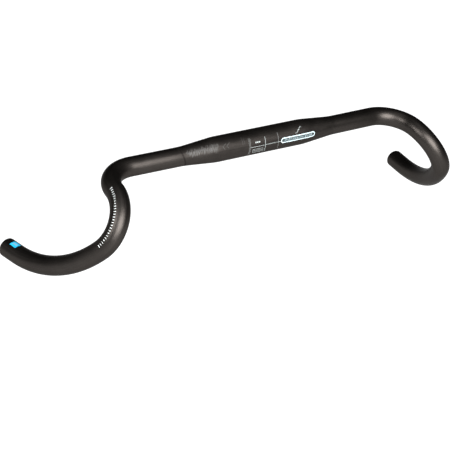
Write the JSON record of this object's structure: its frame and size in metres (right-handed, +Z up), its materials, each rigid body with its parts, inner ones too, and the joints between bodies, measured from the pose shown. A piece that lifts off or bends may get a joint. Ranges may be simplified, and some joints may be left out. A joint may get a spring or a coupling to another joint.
{
  "type": "drop handlebar",
  "caption": "Flared drop handlebar: a bent, butted alloy tube with an oversize clamp section, printed alignment marks and expander end plugs.",
  "frame": {"origin": "centre of the stem clamp section, on the tube's centreline", "axes": "+X to the rider's left, -Y forward, +Z up, with the ramps level"},
  "size_m": [0.6228, 0.1539, 0.1534],
  "materials": {
    "black_tube": "matt black anodised",
    "pale_ink": "screen print under matt lacquer",
    "tone_ink": "dark grey print on black",
    "cyan_ink": "screen print under matt lacquer",
    "black_nylon": "fine moulded grain",
    "black_rubber": "matt moulded",
    "zinc_steel": "bright zinc plated",
    "turned_alloy": "turned, natural"
  },
  "bodies": {
    "bar": {"bar_tube": "black_tube", "clamp_guide_print": "pale_ink", "front_badge": "pale_ink", "tilt_mark": "pale_ink", "tone_graphic": "tone_ink", "right_lever_scale": "pale_ink", "right_end_mark": "cyan_ink", "left_lever_scale": "pale_ink"},
    "right_plug": {"right_plug_cap": "black_nylon", "right_plug_sleeve": "black_rubber"},
    "right_wedge": {"right_plug_wedge": "turned_alloy"},
    "right_screw": {"right_plug_screw": "zinc_steel"},
    "left_plug": {"left_plug_cap": "black_nylon", "left_plug_sleeve": "black_rubber"},
    "left_wedge": {"left_plug_wedge": "turned_alloy"},
    "left_screw": {"left_plug_screw": "zinc_steel"}
  },
  "joints": [
    {"name": "right_plug_pull", "type": "slide", "parent": "bar", "child": "right_plug", "axis": [-0.1667, 0.9794, -0.1136], "range_m": [0, 0.035]},
    {"name": "right_screw_turn", "type": "hinge", "parent": "right_plug", "child": "right_screw", "pos_m": [-0.29964, 0.06382, -0.12524], "axis": [-0.1667, 0.9794, -0.1136], "range_deg": [0, 1081]},
    {"name": "right_wedge_travel", "type": "slide", "parent": "right_plug", "child": "right_wedge", "axis": [0.1667, -0.9794, 0.1136], "range_m": [0, 0.0024]},
    {"name": "left_plug_pull", "type": "slide", "parent": "bar", "child": "left_plug", "axis": [0.1667, 0.9794, -0.1136], "range_m": [0, 0.035]},
    {"name": "left_screw_turn", "type": "hinge", "parent": "left_plug", "child": "left_screw", "pos_m": [0.29964, 0.06382, -0.12524], "axis": [0.1667, 0.9794, -0.1136], "range_deg": [0, 1081]},
    {"name": "left_wedge_travel", "type": "slide", "parent": "left_plug", "child": "left_wedge", "axis": [-0.1667, -0.9794, 0.1136], "range_m": [0, 0.0024]}
  ],
  "couplings": [
    {"joint": "right_screw_turn", "follows": "right_wedge_travel", "rad_per_m": 7854},
    {"joint": "left_screw_turn", "follows": "left_wedge_travel", "rad_per_m": 7854}
  ]
}
